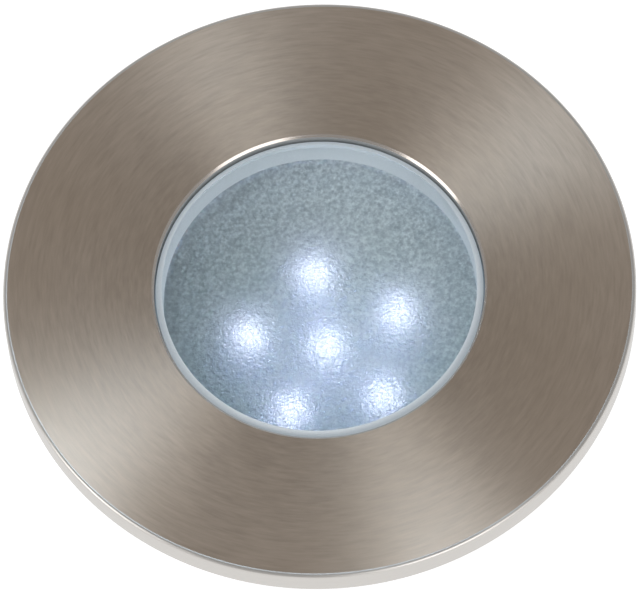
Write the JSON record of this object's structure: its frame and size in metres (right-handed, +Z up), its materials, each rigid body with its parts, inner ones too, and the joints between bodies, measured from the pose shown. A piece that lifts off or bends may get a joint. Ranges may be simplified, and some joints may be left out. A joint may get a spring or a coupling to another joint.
{
  "type": "recessed deck light",
  "caption": "Round recessed deck light: brushed steel bezel, stepped glass lens over small lamps on a board, plastic housing, sprung clips that grip the deck and a cable gland.",
  "frame": {"origin": "centre of the hole in the deck, on the deck's upper surface, where the gasket rests", "axes": "+Z up out of the deck through the lens; +X towards the right clip, the clips lying on the X axis"},
  "size_m": [0.06, 0.06, 0.0519],
  "materials": {
    "brushed_steel": "turned on its face, with fine brushing in rings",
    "plain_steel": "plain bright stainless",
    "spring_steel": "rolled spring steel",
    "glass": "polished on top, frosted underneath",
    "pale_silicone": "matt moulded silicone",
    "black_nylon": "moulded glass-filled nylon",
    "foam_rubber": "closed-cell foam",
    "black_rubber": "moulded rubber",
    "lamp_epoxy": "water-clear epoxy, lit",
    "board_green": "lacquered glass-fibre board",
    "resistor_blue": "lacquered",
    "black_epoxy": "moulded epoxy",
    "terminal_green": "moulded nylon",
    "brass": "plain brass"
  },
  "bodies": {
    "light": {"bezel": "brushed_steel", "lens": "glass", "lens_seal": "pale_silicone", "housing": "black_nylon", "deck_gasket": "foam_rubber", "bezel_screw_1": "plain_steel", "bezel_screw_2": "plain_steel", "bezel_screw_3": "plain_steel", "led_board": "board_green", "led_centre": "lamp_epoxy", "led_ring_1": "lamp_epoxy", "led_ring_2": "lamp_epoxy", "led_ring_3": "lamp_epoxy", "led_ring_4": "lamp_epoxy", "led_ring_5": "lamp_epoxy", "resistor_1": "resistor_blue", "resistor_2": "resistor_blue", "bridge_rectifier": "black_epoxy", "terminal_block": "terminal_green", "terminal_screw_1": "brass", "terminal_screw_2": "brass", "board_screw_1": "plain_steel", "board_screw_2": "plain_steel", "board_screw_3": "plain_steel", "gland_body": "black_nylon", "gland_washer": "black_rubber", "gland_seal": "black_rubber", "gland_nut": "black_nylon", "right_clip_pin": "plain_steel", "right_clip_washer": "spring_steel", "right_clip_spring": "spring_steel", "left_clip_pin": "plain_steel", "left_clip_washer": "spring_steel", "left_clip_spring": "spring_steel"},
    "right_clip": {"right_clip_arm": "spring_steel"},
    "left_clip": {"left_clip_arm": "spring_steel"}
  },
  "joints": [
    {"name": "right_clip_hinge", "type": "hinge", "parent": "light", "child": "right_clip", "pos_m": [0.0224, 0, -0.018], "axis": [0, 1, 0], "range_deg": [0, 140], "stiffness_Nm_per_rad": 0.04, "springref_deg": -51.57, "deforming": ["right_clip_spring"]},
    {"name": "left_clip_hinge", "type": "hinge", "parent": "light", "child": "left_clip", "pos_m": [-0.0224, 0, -0.018], "axis": [0, -1, 0], "range_deg": [0, 140], "stiffness_Nm_per_rad": 0.04, "springref_deg": -51.57, "deforming": ["left_clip_spring"]}
  ]
}
